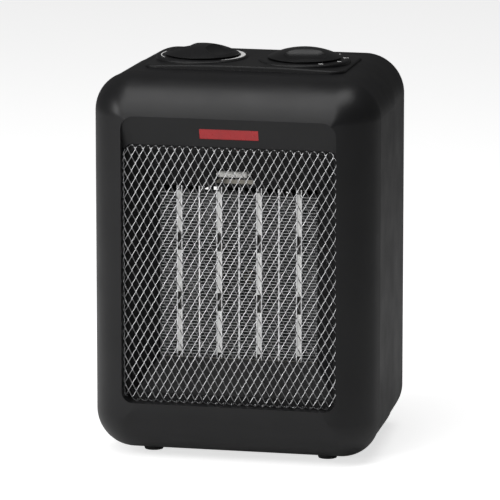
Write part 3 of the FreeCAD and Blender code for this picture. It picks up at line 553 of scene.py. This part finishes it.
SELECTOR_MARKS = {47: "ring", 13: "blades", -21: "one_bar", -55: "two_bars"}
RING_R = 1.35 * MM
RING_HALF_WIDTH = 0.3 * MM
BLADE_COUNT = 3
BLADE_R = 1.7 * MM
BLADE_OFFSET = 0.25 * MM
BLADE_FROM_DEG, BLADE_TO_DEG = -5, 62
BAR_HALF_LONG = 1.5 * MM
BAR_HALF_WIDE = 0.36 * MM
BAR_SHIFT = 0.75 * MM


def selector_marks():
    """Off, fan only, half heat and full heat: a ring, a three-bladed fan, one bar and two."""
    centre = plinth_centre("selector_knob")
    outlines = []
    for degrees, kind in SELECTOR_MARKS.items():
        angle = math.radians(degrees)
        out = Vector((math.cos(angle), math.sin(angle), 0))
        along = Vector((-out.y, out.x, 0))
        spot = centre + out * SCALE_R
        if kind == "ring":
            outlines += strip_outline(spot, RING_R, lambda share: RING_HALF_WIDTH, 0, 360, 20)
        elif kind == "blades":
            for k in range(BLADE_COUNT):
                start = 360 / BLADE_COUNT * k
                turn = math.radians(start)
                hub = spot + BLADE_OFFSET * Vector((math.cos(turn), math.sin(turn), 0))
                tip = arc_points(hub, BLADE_R, start + BLADE_FROM_DEG, start + BLADE_TO_DEG, 6)
                outlines.append(tip + [hub])
        else:
            for shift in (0.0,) if kind == "one_bar" else (-BAR_SHIFT, BAR_SHIFT):
                middle = spot + along * shift
                a, b = out * BAR_HALF_LONG, along * BAR_HALF_WIDE
                outlines.append([middle - a - b, middle + a - b, middle + a + b, middle - a + b])
    return flat_print("selector_marks", outlines, (0, 0, 1))


# ---------------------------------------------------------------- stage
FLOOR_SIZE = 30
FLOOR_GLOW = 0.68


def floor():
    """A pale floor that glows to the camera alone, so that it reads as white."""
    bpy.ops.mesh.primitive_plane_add(size=FLOOR_SIZE, location=(0, 0, 0))
    plane = bpy.context.object
    plane.name = "floor"
    surface = Surface("pale_floor", (0.86, 0.86, 0.86), 0.7)
    surface.mottle(2, 0.01).grain(120, 0.02, 0.0005)
    glow = surface.node("ShaderNodeMath", operation="MULTIPLY")
    glow.inputs[1].default_value = FLOOR_GLOW
    surface.link(surface.node("ShaderNodeLightPath").outputs["Is Camera Ray"], glow.inputs[0])
    surface.link(glow.outputs["Value"], surface.shader.inputs["Emission Strength"])
    surface.set("Emission Color", (1, 1, 1, 1))
    plane.data.materials.append(surface.material)


def area_light(name, place, target, size, watts):
    light = bpy.data.lights.new(name, "AREA")
    light.shape = "RECTANGLE"
    light.size, light.size_y = size
    light.energy = watts
    lamp = bpy.data.objects.new(name, light)
    lamp.location = place
    lamp.rotation_euler = (Vector(target) - Vector(place)).to_track_quat("-Z", "Y").to_euler()
    bpy.context.scene.collection.objects.link(lamp)


ROOM_STRENGTH = 0.09
BACKDROP_STRENGTH = 1.0
# Each light's place, the height that it aims at, its size and its power.
LIGHTS = {
    "key_left": ((-1.7, -0.9, 0.9), 0.13, (0.5, 1.0), 10),
    "front_left": ((-0.6, -1.3, 1.7), 0.2, (1.6, 1.2), 14),
    "top": ((0.1, -0.2, 1.6), 0.2, (1.4, 0.8), 11),
    "into_grille": ((-0.9, -1.9, 0.5), 0.12, (0.25, 0.25), 9),
}


def studio():
    """White to the camera, and a dimmer room for the light that falls on the object."""
    world = bpy.data.worlds.new("studio")
    bpy.context.scene.world = world
    world.use_nodes = True
    tree = world.node_tree
    room = tree.nodes["Background"]
    room.inputs["Color"].default_value = (1, 1, 1, 1)
    room.inputs["Strength"].default_value = ROOM_STRENGTH
    backdrop = tree.nodes.new("ShaderNodeBackground")
    backdrop.inputs["Color"].default_value = (1, 1, 1, 1)
    backdrop.inputs["Strength"].default_value = BACKDROP_STRENGTH
    path = tree.nodes.new("ShaderNodeLightPath")
    mix = tree.nodes.new("ShaderNodeMixShader")
    tree.links.new(path.outputs["Is Camera Ray"], mix.inputs[0])
    tree.links.new(room.outputs[0], mix.inputs[1])
    tree.links.new(backdrop.outputs[0], mix.inputs[2])
    tree.links.new(mix.outputs[0], tree.nodes["World Output"].inputs["Surface"])
    for name, (place, aim_z, size, watts) in LIGHTS.items():
        area_light(name, place, (0, 0, aim_z), size, watts)


CAMERA_PLACE = (0.68356, -3.10324, 0.76626)
CAMERA_YAW = 12.439
CAMERA_PITCH = 11.064
CAMERA_LENS = 356.71
CAMERA_SHIFT_Y = -0.05
CAMERA_SENSOR = 36


def camera():
    data = bpy.data.cameras.new("camera")
    data.lens = CAMERA_LENS
    data.sensor_width = CAMERA_SENSOR
    data.shift_y = CAMERA_SHIFT_Y
    data.clip_end = 100
    made = bpy.data.objects.new("camera", data)
    made.location = CAMERA_PLACE
    made.rotation_euler = (math.radians(90 - CAMERA_PITCH), 0, math.radians(CAMERA_YAW))
    bpy.context.scene.collection.objects.link(made)
    bpy.context.scene.camera = made


bpy.context.scene.view_settings.view_transform = "Standard"
dress_cad_nodes()
grille_mesh()
heater_fins()
thermostat_scale()
selector_marks()
floor()
studio()
camera()
